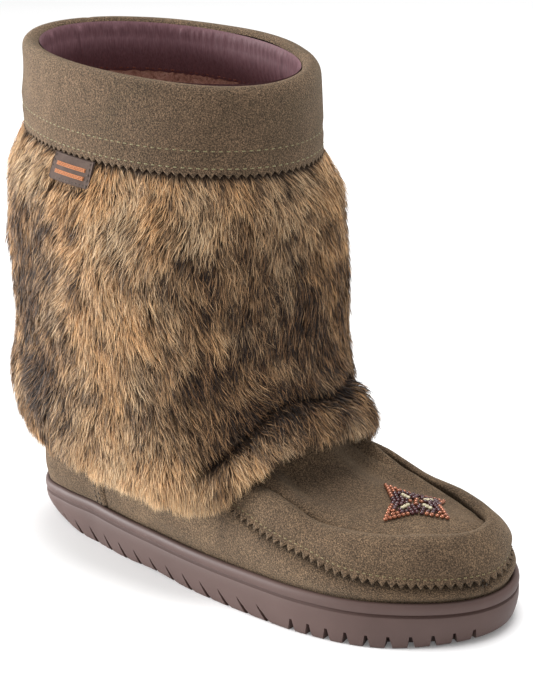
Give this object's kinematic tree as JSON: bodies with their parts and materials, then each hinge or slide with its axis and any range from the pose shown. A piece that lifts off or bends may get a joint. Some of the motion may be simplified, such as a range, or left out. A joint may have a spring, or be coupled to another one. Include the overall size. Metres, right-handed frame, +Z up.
{
  "type": "mukluk boot",
  "caption": "Mid-height suede mukluk boot with a padded cuff, a fur sleeve round the shaft, a moccasin toe with a bead star and a rubber cup sole.",
  "frame": {"origin": "on the floor, under the middle of the whole boot", "axes": "+X to the toe, +Y to the inner side of the right foot, +Z up"},
  "size_m": [0.2832, 0.1396, 0.2537],
  "materials": {
    "rubber": "moulded, matt",
    "fleece": "brushed pile",
    "suede": "napped suede",
    "fur": "long rabbit hair",
    "label_leather": "smooth grain",
    "beads": "glazed seed beads"
  },
  "bodies": {
    "root": {"outsole": "rubber", "insole": "fleece", "upper": "suede", "vamp": "suede", "heel_counter": "suede", "cuff": "suede", "fur_sleeve": "fur", "side_label": "label_leather", "bead_star": "beads"}
  },
  "joints": []
}
